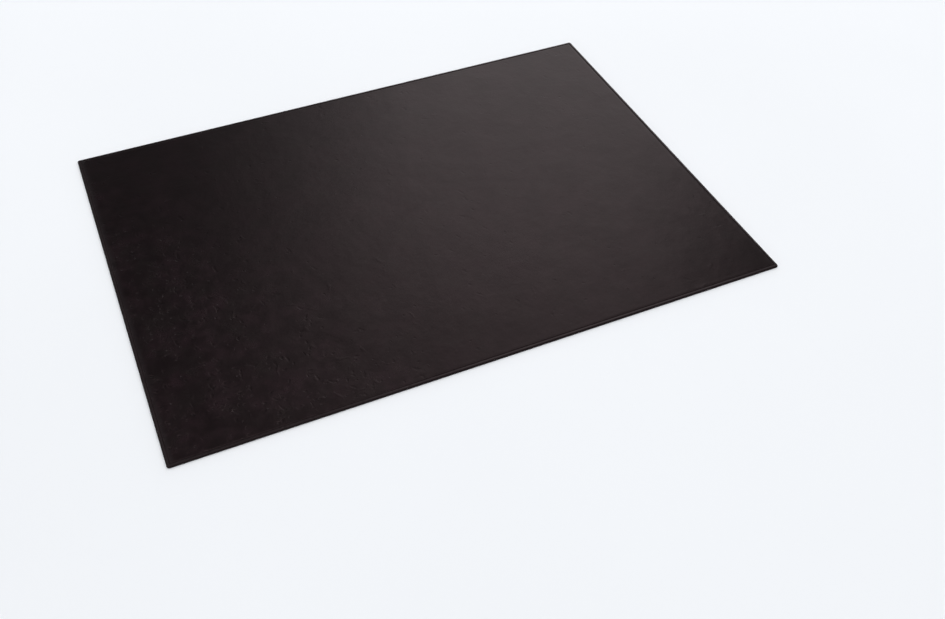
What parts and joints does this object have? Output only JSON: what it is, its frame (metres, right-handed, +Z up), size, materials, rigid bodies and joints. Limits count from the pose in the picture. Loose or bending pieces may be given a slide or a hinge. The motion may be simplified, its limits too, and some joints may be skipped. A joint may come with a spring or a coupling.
{
  "type": "desk pad",
  "caption": "Flat rectangular leather desk pad with turned edges, a creased and beaded border and a non-slip underside, to write on and stand things on.",
  "frame": {"origin": "centre of the underside, on the surface that the pad lies on", "axes": "+X along the long side to the user's right, +Y away from the user, +Z up out of the writing surface"},
  "size_m": [0.65, 0.45, 0.0032],
  "materials": {
    "leather": "satin",
    "felt": "matte",
    "greyboard": "matte",
    "card": "matte",
    "backing_fabric": "matte"
  },
  "bodies": {
    "root": {"leather_cover": "leather", "padding_fleece": "felt", "stiffener_board": "greyboard", "infill_card": "card", "non_slip_backing": "backing_fabric"}
  },
  "joints": []
}
